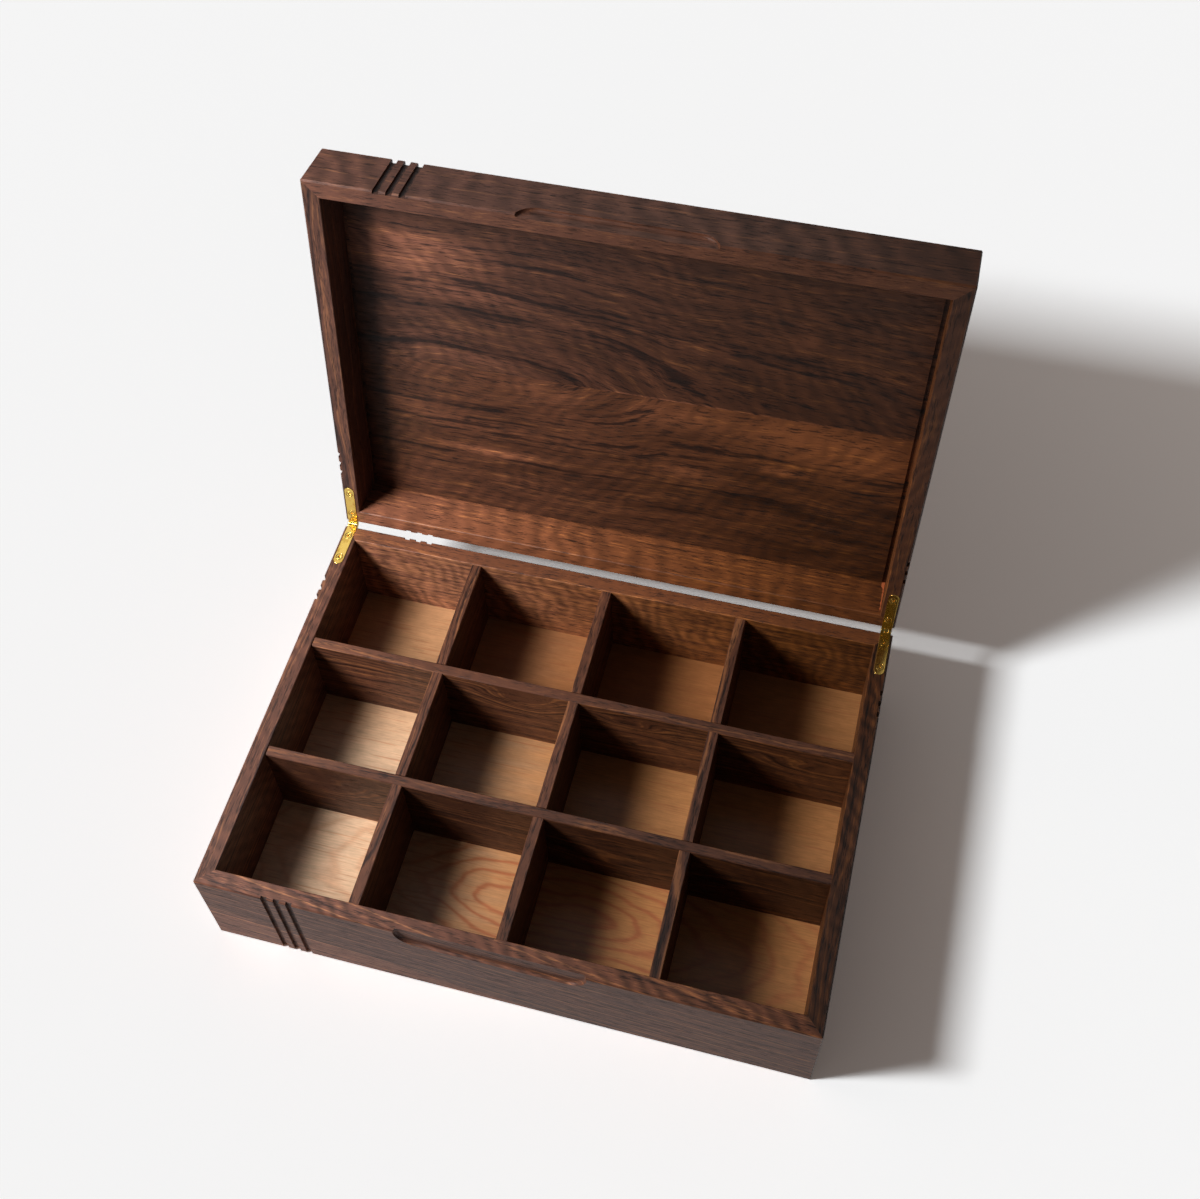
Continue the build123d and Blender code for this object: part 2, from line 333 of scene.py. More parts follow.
def chest_place(bench, on_lid):
    """Millimetres from the middle of the chest's footprint, with the lid taken as shut."""
    here = bench.node("ShaderNodeTexCoord", "Object")
    if on_lid:
        inputs = {"Vector": here, "Center": PIVOT, "Angle": OPEN_ANGLE}
        here = bench.node("ShaderNodeVectorRotate", 0, {"rotation_type": "X_AXIS"}, inputs)
    return bench.shade(bench.minus(here, (0.0, CHEST_MIDDLE_Y, 0.0)), 1 / MM)


def looks_toward(bench, on_lid, direction):
    """1 on faces that look in a direction while the lid is shut, and 0 on the others."""
    facing = bench.node("ShaderNodeTexCoord", "Normal")
    if on_lid:
        inputs = {"Vector": facing, "Angle": OPEN_ANGLE}
        facing = bench.node("ShaderNodeVectorRotate", 0, {"rotation_type": "X_AXIS"}, inputs)
    return bench.dot(facing, direction).step(*FACING)


def spread(value, strength):
    """Stretches a noise about its middle, so that more of it reaches 0 and 1."""
    return value.swing() * strength + 0.5


# How much each layer of the walnut counts; a pair is where a mask begins and where it is full
WALNUT_STOPS = (0.05, 0.38, 0.60, 1.0)
RING_SHARE = 0.55
FIGURE_CONTRAST = 3.6
ORANGE_SOFTENING = 2.2
PORE_CONTRAST = 4.0
PORE_DEPTHS = (0.34, 0.10)
PORE_DARKNESS = 0.55
PORE_ROUGHNESS = 0.2
PORE_SINKING = 0.6
CURL_POLISH = 0.16
WEAR_LIGHTNESS = 0.35
WEAR_POLISH = 0.08
WEAR_TURN = (0.01, 0.25)
WEAR_SAMPLES = 4
# Strength, open-face bounds and samples of the painted shade deep in grooves and corners
GROOVE_SHADE_DARKNESS = 0.65
GROOVE_SHADE_OPENNESS = (0.35, 0.85)
GROOVE_SHADE_SAMPLES = 6
STREAK_HEIGHT = 0.7
FINE_SHARE = 0.6
BROAD_FIBRE_WIDTH = 2.1
BROAD_FIBRE_LENGTHS = 4
WALNUT_RELIEF = 0.00016
WALNUT_RELIEF_SHARE = 0.7


def walnut_shader(bench, ring, streak, curl, level, warm, orange_strip=0.0):
    """Oiled walnut from its rings, fibres and ripples, a lightness and a share of warmth, which also carry
    painted light and shade, and a share of a bright orange corner strip.
    """
    walnut = bpy.context.scene.walnut_settings
    tints = (walnut.dark, walnut.body, walnut.body, walnut.gold)
    figure = ring * RING_SHARE + streak * (1 - RING_SHARE)
    tint = bench.ramp(spread(figure, FIGURE_CONTRAST), list(zip(WALNUT_STOPS, tints)))
    toward_orange = [orange / body / ORANGE_SOFTENING for orange, body in zip(walnut.orange, walnut.body)]
    warmed = bench.blend(1.0, tint, toward_orange, "MULTIPLY")
    tint = bench.blend(warm, tint, warmed)
    pore = spread(streak, PORE_CONTRAST).step(*PORE_DEPTHS) * PORE_DARKNESS
    tint = bench.shade(tint, level * (0.5 + curl) * (1 - pore))
    worn = worn_edge(bench, walnut.edge_wear)
    # Painted shade darkens the colour deep in grooves and corners
    groove_shade = painted_groove_shade(bench, walnut.groove_shade_reach)
    tint = bench.shade(tint, (1 + WEAR_LIGHTNESS * worn) * (1 - GROOVE_SHADE_DARKNESS * groove_shade))
    tint = bench.blend(orange_strip, tint, walnut.orange_strip)
    roughness = walnut.roughness - CURL_POLISH * curl.swing() + PORE_ROUGHNESS * pore - WEAR_POLISH * worn
    height = streak * STREAK_HEIGHT + ring * (1 - STREAK_HEIGHT) - PORE_SINKING * pore
    inputs = {
        "Base Color": tint,
        "Roughness": roughness,
        "Normal": bench.bump(height, WALNUT_RELIEF, WALNUT_RELIEF_SHARE),
        "Specular IOR Level": walnut.gloss,
    }
    return bench.node("ShaderNodeBsdfPrincipled", 0, None, inputs)


def worn_edge(bench, width):
    """1 along the rubbed edges of a board, and 0 away from them."""
    straight = bench.node("ShaderNodeNewGeometry", "Normal")
    same = bench.dot(bench.eased_normal(width, WEAR_SAMPLES), straight)
    return (1 - same).step(*WEAR_TURN)


def painted_groove_shade(bench, reach):
    """1 deep in a groove or a corner, where the ambient occlusion node finds the surface closed in, and 0 on
    open faces: painted shade there.
    """
    settings = {"samples": GROOVE_SHADE_SAMPLES, "only_local": True}
    open_share = bench.node("ShaderNodeAmbientOcclusion", "AO", settings, {"Distance": reach})
    return 1 - open_share.step(*GROOVE_SHADE_OPENNESS)


def fibres(bench, along, across, up):
    """Short streaks along the grain, fine enough to read as pores."""
    walnut = bpy.context.scene.walnut_settings
    pore_length = walnut.pore_length / MM
    pore_width = walnut.pore_width / MM
    broad_length = BROAD_FIBRE_LENGTHS * pore_length
    fine = bench.grain(along, across, up, pore_length, pore_width, roughness=0.7)
    broad = bench.grain(along, across, up, broad_length, BROAD_FIBRE_WIDTH, roughness=0.6)
    return mixed_fibres(fine, broad)


def mixed_fibres(fine, broad):
    """Fine and broad streaks in one."""
    return fine * FINE_SHARE + broad * (1 - FINE_SHARE)


def ripples(bench, along, across, up, cut):
    """Dark bands across the grain, where the fibres of curly walnut rise and fall, about a half."""
    pitch = bpy.context.scene.walnut_settings.curl_pitch / MM * cut.pitch
    wander = 34
    even_share = 0.45
    patch_edges = (0.38, 0.60)
    drift = bench.grain(along, across, up, length=40, width=26, roughness=0.55)
    patch = bench.grain(along, across, up, length=45, width=30, shift=9, detail=1.0).step(*patch_edges)
    slanted = along + cut.lean * (across + up) + wander * drift
    wave = (slanted * (2 * math.pi / pitch)).sine()
    return 0.5 + wave * (even_share + (1 - even_share) * patch) * (0.5 * cut.curl)


class Cut:
    """How one board was sawn and what it shows."""

    def __init__(self, shift, level=1.0, warm=0.0, curl=0.2, lean=0.5, ring=3.0, sway=18.0):
        # Where in the log the board comes from, its lightness, which also paints the light and shade that
        # fall on the board, and its share of warmth
        self.shift = shift
        self.level = level
        self.warm = warm
        # Strength, slant and pitch of its ripples, the faces that show them in full, and what others show
        self.curl = curl
        self.lean = lean
        self.pitch = 1.0
        self.curly_face = UPWARD
        self.face_curl = 1.0
        # Width of its rings, their sway and tilt in millimetres, their strength, and humps in them
        self.ring = ring
        self.sway = sway
        self.tilt = 0.0
        self.figure = 1.0
        self.eyes = ()
        # Painted falloff of light, darker from left to right, a pale strip of sapwood, and a bright orange
        # strip in a corner
        self.fade = 0.16
        self.sap = False
        self.orange_strip = False
        # Faces on which light is painted, with their own warmth and lightness, and how
        self.inner = ()
        self.painted_face_warmth = 0.0
        self.painted_face_lightness = 1.0
        self.painted_face_falloff = 0.0
        self.painted_face_warming = 0.0
        self.painted_face_gilding = 0.0

    def paint_light_on_faces(self, directions, warm, level, fade=0.0, falloff_warming=0.0):
        """Paints light on the faces that look in some directions: warmer and lighter, and darker and warmer
        to the right as painted falloff of light.
        """
        self.inner = directions
        self.painted_face_warmth = warm
        self.painted_face_lightness = level
        self.painted_face_falloff = fade
        self.painted_face_warming = falloff_warming
        return self


def knot(along, up, eye):
    """A hump round a point of the board, of a half length, a half height and a strength."""
    middle, height, half_length, half_height, strength = eye
    off_along = (along - middle) / half_length
    off_up = (up - height) / half_height
    away = (off_along * off_along + off_up * off_up).root()
    return (1 - away.step(0.0, 1.0)) * strength


# Weights of straight sawn boards
RINGS_ACROSS = 0.7
RINGS_UP = 0.9
FIBRE_SHIFT = 3
BOARD_CLOUDS = 0.6
# Cooler at the left and warmer to the right: painted falloff of the lamp's light
LEFT_COOLING = 0.15
RIGHT_WARMING = 0.50
WARMING_RANGE = (-160, 175)
SAP_HEIGHTS = (6, 11)
SAP_SLOPE = 0.18
SAP_SWAY = 6
SAP_LIGHTNESS = 0.70
SAP_WARMTH = 0.18


def straight_walnut(name, on_lid, along, cut):
    """Walnut sawn along its rings."""
    material, bench = new_material(name)
    x, y, z = bench.parts(chest_place(bench, on_lid))
    run, across = (x, y) if along == "X" else (y, x)
    sway = bench.grain(run, across, z, length=120, width=24, shift=cut.shift)
    depth = across * RINGS_ACROSS + z * RINGS_UP + run * cut.tilt + cut.sway * sway
    for eye in cut.eyes:
        depth = depth + knot(run, z, eye)
    ring = spread(bench.line_noise(depth / cut.ring + cut.shift, roughness=0.6), cut.figure)
    own_run = run + FIBRE_SHIFT * cut.shift
    streak = fibres(bench, own_run, across, z)
    curl = ripples(bench, own_run, across, z, cut)
    if cut.face_curl < 1:
        curly = looks_toward(bench, on_lid, cut.curly_face)
        curl = 0.5 + curl.swing() * (cut.face_curl + (1 - cut.face_curl) * curly)
    drift = bench.grain(run, across, z, length=60, width=30, shift=cut.shift, detail=1.0)
    # Painted falloff of light darkens each board to the right, and warms it to the right
    level = cut.level * (1 + BOARD_CLOUDS * drift.swing()) * (1 - cut.fade * x / HALF_WIDTH)
    warm = cut.warm - LEFT_COOLING + RIGHT_WARMING * x.step(*WARMING_RANGE)
    # Faces turned to the lamp get painted light: their own warmth, lightness, falloff to the right and a
    # golden lift of the rings
    if cut.inner:
        painted_face_mask = looks_toward(bench, on_lid, cut.inner[0])
        for direction in cut.inner[1:]:
            painted_face_mask = painted_face_mask.most(looks_toward(bench, on_lid, direction))
        warm = warm + painted_face_mask * (cut.painted_face_warmth + cut.painted_face_warming * x / HALF_WIDTH - warm)
        painted_face_level = cut.painted_face_lightness * (1 - cut.painted_face_falloff * x / HALF_WIDTH)
        level = level * (1 + painted_face_mask * (painted_face_level - 1))
        ring = ring + cut.painted_face_gilding * painted_face_mask
    if cut.sap:
        pale_edge = 1 - (z + SAP_SLOPE * x + SAP_SWAY * sway).step(*SAP_HEIGHTS)
        level = level * (1 + SAP_LIGHTNESS * pale_edge)
        warm = warm + SAP_WARMTH * pale_edge
    orange_strip = orange_corner_strip(bench, x, z, drift) if cut.orange_strip else 0.0
    bench.finish(walnut_shader(bench, ring, streak, curl, level, warm, orange_strip))
    return material


def orange_corner_strip(bench, x, z, drift):
    """1 on a bright orange strip in the lid's right rear corner, and 0 elsewhere."""
    inner_corner = HALF_WIDTH - BOARD_THICKNESS
    strip_width = 1.0
    wobble_width = 1.2
    wobble_pitch = 3.0
    foot_width = 1.2
    foot_low = 93
    strip_low = 75
    end_wander = 3
    end_softness = 3.0
    side_softness = 0.6
    wobble = bench.line_noise(z / wobble_pitch, roughness=0.6)
    from_corner = x - inner_corner
    foot = foot_width * (z - foot_low).step(0.0, end_softness)
    beside = (from_corner + strip_width + wobble_width * wobble.swing() + foot).step(0.0, side_softness)
    reach = (z - strip_low + end_wander * drift.swing()).step(0.0, end_softness)
    on_back_board = looks_toward(bench, True, FORWARD) * (1 - from_corner.step(-0.3, 0.1))
    return beside * reach * on_back_board


# The panel's dark rings: distance from its eye, half width, strength
FRONT_BANDS = (
    (33.0, 3.5, 1.0),
    (37.0, 2.5, 0.5),
    (59.0, 2.0, 0.6),
    (62.0, 2.5, 0.9),
    (71.0, 2.5, 0.5),
    (76.0, 2.5, 0.9),
    (80.0, 3.0, 0.8),
    (88.0, 2.0, 0.3),
    (96.0, 2.5, 0.7),
    (104.0, 3.0, 0.4),
    (113.0, 3.0, 0.4),
)
REAR_BANDS = (
    (26.0, 1.8, 0.6),
    (42.0, 2.0, 0.4),
    (48.0, 2.5, 0.7),
    (51.0, 2.0, 0.9),
    (60.0, 2.0, 0.5),
    (65.0, 2.5, 0.9),
    (70.0, 2.0, 0.9),
    (75.0, 2.0, 0.7),
    (90.0, 1.8, 0.7),
    (99.0, 2.0, 0.4),
    (108.0, 2.0, 0.4),
)

# The panel's golden places, painted highlights on the front board and partly golden figure, partly painted
# highlight on the rear board: x, y, half length, half height, strength
FRONT_PAINTED_HIGHLIGHTS = (
    (-145, -72, 90, 28, 2.2),
    (-95, -5, 52, 9, 0.6),
    (-100, -49, 70, 9, 0.9),
    (97, -62, 12, 20, 0.6),
    (20, -20, 14, 10, 0.3),
)
REAR_GOLD_AND_HIGHLIGHTS = (
    (-85, 68, 46, 6, 1.3),
    (92, 41, 20, 5, 1.4),
    (40, 54, 36, 6, 0.9),
    (-50, 12, 36, 12, 0.5),
    (-100, 46, 60, 12, 0.4),
    (120, 16, 70, 22, 0.8),
    (30, 14, 50, 16, 0.6),
)

# The seam between the panel's boards, and the long eye whose rings close to its right
SEAM_OFFSET = 2.6
SEAM_FALL = math.tan(math.radians(1.2))
EYE_TIP_X = -88
EYE_MIDDLE_Y = 3
EYE_HALF_HEIGHT = 20
OVAL_POWER = 3.0

# Weights of the panel's layers, and where the rear board's rings fade beside the seam
COARSE_SHARE = 0.6
PANEL_CONTRAST = 1.1
BAND_DARKNESS = 0.34
BAND_FADING = 0.35
BAND_FADING_RANGE = (0, 140)
CALM_ACROSS = (18, 34)
CALM_BAND_RANGE = (0, 50)
CALM_RING_RANGE = (0, 40)
RING_CALMING = 0.75
FIBRE_SLANT = 0.7
PANEL_CURL = 0.36
# Where the panel's painted falloff of light runs from left to right
RIGHT_RANGE = (-80, 160)
SHEEN_STRENGTH = 0.4
CLOUD_STRENGTH = 1.1
GOLD_AND_HIGHLIGHT_STRENGTH = 1.15


def eye_distance(bench, x, y, side, stretch):
    """Distance from the panel's long eye, over which its rings lie, in millimetres."""
    far_right = 110
    far_relief = 0.40
    left_end = 22
    left_reach = 60
    swirl_reach = 9
    ripple_reach = 2.5
    swirl = bench.sheet(x, y, length=95, width=40, layer=3.0 + side, detail=1.0)
    ripple = bench.sheet(x, y, length=24, width=12, layer=3.0 + side)
    rightward = (x - EYE_TIP_X).most(0.0)
    long_way = stretch * rightward - far_relief * (rightward - far_right).most(0.0)
    long_way = long_way + left_end * (EYE_TIP_X - x).step(0, left_reach)
    wide_way = (y - EYE_MIDDLE_Y) * side + EYE_HALF_HEIGHT
    radius = (long_way**OVAL_POWER + wide_way**OVAL_POWER) ** (1 / OVAL_POWER)
    return radius + swirl_reach * swirl.swing() + ripple_reach * ripple.swing()


def dark_rings(bench, x, radius, side, bands):
    """Dark rings at some distances from the eye, broken along their length."""
    unbroken = 0.15
    break_strength = 1.1
    break_edges = (0.38, 0.64)
    total = 0
    for middle, half_width, strength in bands:
        total = total + strength * (1 - abs(radius - middle).step(0.0, half_width))
    broken = bench.sheet(x, radius, length=34, width=3.5, layer=15.0 + side, roughness=0.6)
    return total * (unbroken + break_strength * broken.step(*break_edges))


def front_panel_light(x, y, right):
    """Painted light on the panel's front board: lightness falls and warmth rises to the right as painted
    falloff of light, and a painted highlight runs along its seam.
    """
    left_level = 0.98
    darkening = 0.30
    left_warmth = 0.10
    warming = 0.50
    seam_highlight_gain = 1.4
    line_edges = (0.3, 1.2)
    line_starts = (-30, 10)
    line_ends = (100, 140)
    off_seam = abs(y - SEAM_OFFSET + SEAM_FALL * x)
    line = (1 - off_seam.step(*line_edges)) * x.step(*line_starts) * (1 - x.step(*line_ends))
    return left_level - darkening * right, left_warmth + warming * right, 1 + seam_highlight_gain * line


def rear_panel_light(x, y, right):
    """Painted light on the panel's rear board: lightness falls and warmth rises to the right as painted
    falloff of light, darker still in the right rear corner; lighter near the seam and along a plain strip,
    darker along a shake; and no gain at its seam.
    """
    left_level = 0.92
    seam_gain = 0.14
    corner_darkening = 0.42
    strip_gain = 0.12
    left_warmth = 0.30
    warming = 0.60
    shake_y = 33
    shake_darkening = 0.45
    near_seam = 1 - y.step(30, 85)
    dark_corner = right * y.step(10, 70)
    plain_strip = x.step(-30, 60) * (1 - y.step(20, 60))
    shake = (1 - abs(y - shake_y).step(0.2, 0.9)) * x.step(20, 60)
    level = left_level + seam_gain * near_seam - corner_darkening * dark_corner + strip_gain * plain_strip
    return level * (1 - shake_darkening * shake), left_warmth + warming * right, 1.0


def panel_walnut(name, rear):
    """Walnut sawn across its rings, which close round a long eye at the left of the seam."""
    side = 1 if rear else -1
    stretch = 0.46 if rear else 0.50
    material, bench = new_material(name)
    x, y, z = bench.parts(chest_place(bench, True))
    radius = eye_distance(bench, x, y, side, stretch)
    bands = dark_rings(bench, x, radius, side, REAR_BANDS if rear else FRONT_BANDS)
    if rear:
        bands = bands * (1 - x.step(*CALM_BAND_RANGE) * (1 - y.step(*CALM_ACROSS)))
    bands = bands * (1 - BAND_FADING * x.step(*BAND_FADING_RANGE))
    coarse = bench.sheet(x, radius, length=60, width=4.0, layer=4.0 * side, detail=3.0, roughness=0.7)
    close = bench.sheet(x, radius, length=18, width=0.9, layer=7.0 * side, roughness=0.6)
    ring = spread(coarse * COARSE_SHARE + close * (1 - COARSE_SHARE), PANEL_CONTRAST)
    ring = ring - BAND_DARKNESS * bands
    if rear:
        calm = x.step(*CALM_RING_RANGE) * (1 - y.step(*CALM_ACROSS))
        ring = 0.5 + ring.swing() * (1 - RING_CALMING * calm)
    grain = radius + FIBRE_SLANT * side * y
    fine = bench.sheet(x, grain, length=7, width=0.8, layer=z, roughness=0.7)
    broad = bench.sheet(x, grain, length=22, width=2.8, layer=z + 5, roughness=0.6)
    streak = mixed_fibres(fine, broad)
    curl = ripples(bench, x, y, z, Cut(0, curl=PANEL_CURL, lean=FIBRE_SLANT * side))
    # Golden places brighten the walnut: painted highlights, partly golden figure on the rear board
    gold_and_highlight = 0
    for spot in REAR_GOLD_AND_HIGHLIGHTS if rear else FRONT_PAINTED_HIGHLIGHTS:
        gold_and_highlight = gold_and_highlight + knot(x, y, spot)
    right = x.step(*RIGHT_RANGE)
    level, warm, seam = rear_panel_light(x, y, right) if rear else front_panel_light(x, y, right)
    sheen = bench.sheet(x, y, length=30, width=12, layer=8.0)
    cloud = bench.sheet(x, radius, length=55, width=9.0, layer=30.0 + side, detail=1.0)
    level = level + SHEEN_STRENGTH * sheen.swing() + CLOUD_STRENGTH * cloud.swing()
    level = level * (1 + GOLD_AND_HIGHLIGHT_STRENGTH * gold_and_highlight) * seam
    bench.finish(walnut_shader(bench, ring, streak, curl, level, warm))
    return material


# The maple's flames, which close in ovals in front of the chest's middle
FLAME_X = 20
FLAME_Y = -70
FLAME_STRETCH = 0.30
FLAME_PITCH = 6.4
FLAME_SHARPNESS = 4.0
FLAME_SWIRL = 14
FLAME_RIPPLE = 2.5
THIN_LINES = (0.55, 0.68)
THIN_STRENGTH = 0.5

# Weights of the maple's layers
FINE_WEIGHT = 0.74
BROAD_WEIGHT = 0.34
SHIMMER_WEIGHT = 0.36
LEAST_LEVEL = 0.28
FRONT_LEVEL = 1.04
# Painted shade by the back wall, and painted falloff of light to the right
BACK_WALL_SHADING = 0.26
BACK_WALL_WARMING = 0.75
BACK_WALL_RANGE = (-35, 90)
FALLOFF_RANGE = (-150, 20)
FALLOFF_WANDER = 50
DEEP_SHARE = 0.55
END_GAIN = 0.10
MAPLE_RELIEF = 0.00004
MAPLE_RELIEF_SHARE = 0.4


def maple_flames(bench, x, y):
    """Reddish ring lines: ovals near the front, and thin ones elsewhere."""
    swirl = bench.sheet(x, y, length=45, width=26, layer=3.1, detail=1.0)
    small = bench.sheet(x, y, length=14, width=5, layer=6.1, detail=1.0)
    long_way = FLAME_STRETCH * (x - FLAME_X)
    wide_way = y - FLAME_Y
    radius = (long_way * long_way + wide_way * wide_way).root()
    radius = radius + FLAME_SWIRL * swirl + FLAME_RIPPLE * small
    wave = ((radius * (2 * math.pi / FLAME_PITCH)).sine() * 0.5 + 0.5) ** FLAME_SHARPNESS
    left_strength = 0.30
    middle_gain = 0.80
    right_loss = 0.6
    middle = x.step(-90, -20) * (1 - right_loss * x.step(80, 120))
    near_front = 1 - y.step(-48, -30)
    strength = near_front * (left_strength + middle_gain * middle)
    thin = bench.sheet(x, y, length=40, width=1.6, layer=9.0)
    return (wave * strength).most(thin.step(*THIN_LINES) * THIN_STRENGTH)


def maple_board(name):
    """Pale maple, darker and warmer to the right as painted falloff of light, and with painted shade by the
    back wall.
    """
    maple = bpy.context.scene.maple_settings
    material, bench = new_material(name)
    x, y = bench.parts(chest_place(bench, False))[:2]
    lines = maple_flames(bench, x, y)
    fine = bench.sheet(x, y, length=14, width=0.9, layer=1.0, detail=3.0, roughness=0.7)
    broad = bench.sheet(x, y, length=55, width=6, layer=5.0)
    shimmer = bench.sheet(x, y, length=9, width=6, layer=11.0, roughness=0.6)
    # Painted shade by the back wall, and painted falloff of light to the right
    back = y.step(*BACK_WALL_RANGE)
    falloff_share = (x + FALLOFF_WANDER * broad.swing()).step(*FALLOFF_RANGE)
    plain = bench.blend(falloff_share.most(BACK_WALL_WARMING * back), maple.pale, maple.falloff_tone)
    deep = y.step(25, 75) * (x.step(-100, -60) - x.step(70, 120))
    plain = bench.blend(DEEP_SHARE * deep, plain, maple.deep)
    left_end = 1 - x.step(-110, -80)
    right_end = x.step(60, 110)
    figure = LEAST_LEVEL + FINE_WEIGHT * fine + BROAD_WEIGHT * broad + SHIMMER_WEIGHT * shimmer
    bright_ends = 1.0 + END_GAIN * left_end + END_GAIN * right_end
    level = figure * (FRONT_LEVEL - BACK_WALL_SHADING * back) * bright_ends
    inputs = {
        "Base Color": bench.shade(bench.blend(lines, plain, maple.line), level),
        "Roughness": maple.roughness,
        "Normal": bench.bump(fine, MAPLE_RELIEF, MAPLE_RELIEF_SHARE),
        "Specular IOR Level": maple.gloss,
    }
    bench.finish(bench.node("ShaderNodeBsdfPrincipled", 0, None, inputs))
    return material


# Blotches and drawn scratches of the brass, by the metre, and what they do
BLOTCHES = 300.0
SCRATCHES = 900.0
SCRATCH_STRETCH = (9.0, 0.4, 0.4)
DULL_BLOTCHES = (0.45, 0.80)
BLOTCH_ROUGHNESS = 0.12
SCRATCH_ROUGHNESS = 0.15
SCRATCH_RELIEF = 0.000004
SCRATCH_RELIEF_SHARE = 0.3
EASE_SAMPLES = 8


def polished_brass(name):
    """Brass with fine scratches along the leaves and a little dullness."""
    brass = bpy.context.scene.brass_settings
    material, bench = new_material(name)
    here = bench.node("ShaderNodeTexCoord", "Object")
    cloud = bench.noise(here, BLOTCHES, detail=3.0, roughness=0.6)
    drawn = bench.node("ShaderNodeMapping", 0, None, {"Vector": here, "Scale": SCRATCH_STRETCH})
    scratch = bench.noise(drawn, SCRATCHES)
    eased = bench.eased_normal(brass.edge_ease, EASE_SAMPLES)
    uneven = BLOTCH_ROUGHNESS * cloud.swing() + SCRATCH_ROUGHNESS * scratch.swing()
    inputs = {
        "Base Color": bench.blend(cloud.step(*DULL_BLOTCHES), brass.body, brass.dull),
        "Metallic": 1.0,
        "Roughness": brass.roughness + uneven,
        "Normal": bench.bump(scratch, SCRATCH_RELIEF, SCRATCH_RELIEF_SHARE, eased),
    }
    bench.finish(bench.node("ShaderNodeBsdfPrincipled", 0, None, inputs))
    return material


class TEACHEST_OT_base_boards(bpy.types.Operator):
    """Finish the four mitred boards of the base"""

    bl_idname = "teachest.base_boards"
    bl_label = "Base boards"

    def execute(self, context):
        # Painted light per board: the front board lighter for the pale sheen on its grazed front face, the
        # right board darker, and faces turned to the lamp lighter
        front = Cut(4, level=1.80, warm=0.0, curl=0.75, lean=1.2, ring=1.8, sway=5)
        front.tilt = 0.10
        front.face_curl = 0.15
        front.sap = True
        front.fade = 0.04
        back = Cut(31, level=1.55, warm=0.50, curl=0.5, lean=0.15, ring=4.0)
        back.paint_light_on_faces((FORWARD,), warm=0.45, level=1.05, fade=0.62, falloff_warming=0.85)
        back.painted_face_gilding = 0.12
        back.pitch = 0.8
        back.figure = 0.4
        back.curly_face = FORWARD
        back.face_curl = 0.3
        left = Cut(52, level=1.15, warm=0.1, curl=0.4, lean=0.8, ring=2.2)
        right = Cut(79, level=0.64, warm=0.35, curl=0.8, lean=1.3, ring=2.6)
        right.paint_light_on_faces((LEFTWARD,), warm=1.0, level=1.5)
        put_on("base_front_board", straight_walnut("base_front_walnut", False, "X", front))
        put_on("base_back_board", straight_walnut("base_back_walnut", False, "X", back))
        put_on("base_left_board", straight_walnut("base_left_walnut", False, "Y", left))
        put_on("base_right_board", straight_walnut("base_right_walnut", False, "Y", right))
        return {"FINISHED"}


class TEACHEST_OT_lid_boards(bpy.types.Operator):
    """Finish the four mitred boards of the lid"""

    bl_idname = "teachest.lid_boards"
    bl_label = "Lid boards"

    def execute(self, context):
        # Painted light per board: the front board, whose outer face looks up to the lamp while the lid
        # stands open, lighter, and the inner faces of the back and right boards lighter and warmer
        front = Cut(104, level=1.70, warm=0.12, curl=0.6, lean=0.4, ring=3.4)
        front.figure = 0.6
        front.pitch = 1.5
        front.curly_face = FORWARD
        front.face_curl = 0.35
        back = Cut(131, level=1.1, warm=0.3, curl=0.5, lean=0.3, ring=3.0)
        back.paint_light_on_faces((FORWARD, DOWNWARD), warm=0.70, level=1.74, fade=0.36, falloff_warming=0.60)
        back.orange_strip = True
        back.pitch = 1.3
        back.figure = 0.5
        left = Cut(152, level=1.1, warm=0.15, curl=0.2, lean=0.7, ring=2.4)
        right = Cut(179, level=0.95, warm=0.2, curl=0.4, lean=1.0, ring=2.6)
        right.paint_light_on_faces((LEFTWARD,), warm=1.0, level=1.5)
        put_on("lid_front_board", straight_walnut("lid_front_walnut", True, "X", front))
        put_on("lid_back_board", straight_walnut("lid_back_walnut", True, "X", back))
        put_on("lid_left_board", straight_walnut("lid_left_walnut", True, "Y", left))
        put_on("lid_right_board", straight_walnut("lid_right_walnut", True, "Y", right))
        return {"FINISHED"}


class TEACHEST_OT_lid_panel(bpy.types.Operator):
    """Finish the two glued boards of the lid's panel"""

    bl_idname = "teachest.lid_panel"
    bl_label = "Lid panel"

    def execute(self, context):
        put_on("lid_panel_front_board", panel_walnut("panel_front_walnut", False))
        put_on("lid_panel_rear_board", panel_walnut("panel_rear_walnut", True))
        return {"FINISHED"}


class TEACHEST_OT_dividers(bpy.types.Operator):
    """Finish the crossed dividers"""

    bl_idname = "teachest.dividers"
    bl_label = "Dividers"

    def execute(self, context):
        # Painted light on the dividers: their tops lighter where they face the lamp
        front = Cut(200, level=0.78, warm=0.35, curl=0.15, ring=2.6, sway=20)
        front.paint_light_on_faces((UPWARD,), warm=0.2, level=1.4)
        front.eyes = ((-130, 40, 60, 30, 14), (60, 30, 90, 26, 12))
        rear = Cut(201, level=1.15, warm=0.35, curl=0.15, ring=2.6, sway=20)
        rear.paint_light_on_faces((UPWARD,), warm=0.2, level=1.0)
        rear.eyes = ((35, 57, 30, 9, 9), (-32, 57, 38, 20, 14), (150, 50, 60, 14, 10))
        put_on("divider_long_front", straight_walnut("long_front_walnut", False, "X", front))
        put_on("divider_long_rear", straight_walnut("long_rear_walnut", False, "X", rear))
        for shift, side in enumerate(("left", "middle", "right"), 230):
            cross = Cut(shift, level=1.0, warm=0.25, curl=0.15, ring=2.2)
            cross.paint_light_on_faces((UPWARD,), warm=0.2, level=1.2)
            put_on(f"divider_cross_{side}", straight_walnut(f"cross_{side}_walnut", False, "Y", cross))
        return {"FINISHED"}


